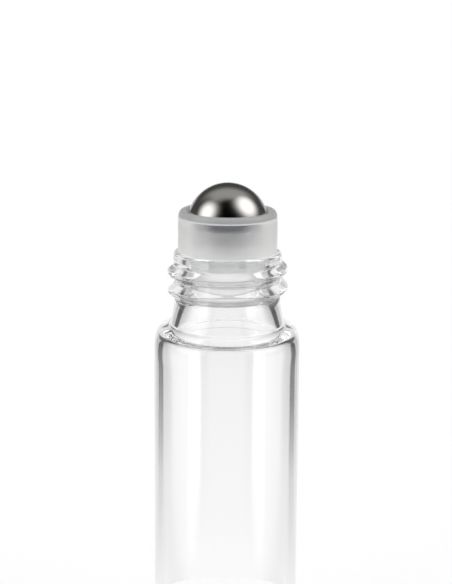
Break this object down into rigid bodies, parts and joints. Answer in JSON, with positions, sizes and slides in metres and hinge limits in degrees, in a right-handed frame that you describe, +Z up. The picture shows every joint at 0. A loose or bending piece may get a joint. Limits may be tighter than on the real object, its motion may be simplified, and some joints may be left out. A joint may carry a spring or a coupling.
{
  "type": "roll on bottle",
  "caption": "Slim clear glass roll on bottle with a screw neck, a translucent plastic roller housing pressed into it and a satin steel ball.",
  "frame": {"origin": "centre of the ring that the bottle stands on", "axes": "+Z up along the bottle's axis; the front faces -Y, with +X to the right"},
  "size_m": [0.02, 0.02, 0.0694],
  "materials": {
    "clear_glass": "clear, fire polished",
    "natural_plastic": "unpigmented polyethylene, translucent, fine satin",
    "satin_steel": "satin, tumbled"
  },
  "bodies": {
    "bottle": {"glass_bottle": "clear_glass"},
    "fitment": {"roller_housing": "natural_plastic"},
    "ball": {"roller_ball": "satin_steel"}
  },
  "joints": [
    {"name": "fitment_pull", "type": "slide", "parent": "bottle", "child": "fitment", "axis": [0, 0, 1], "range_m": [0, 0.012]},
    {"name": "ball_roll", "type": "hinge", "parent": "fitment", "child": "ball", "pos_m": [0, 0, 0.0638], "axis": [1, 0, 0], "continuous": true}
  ]
}
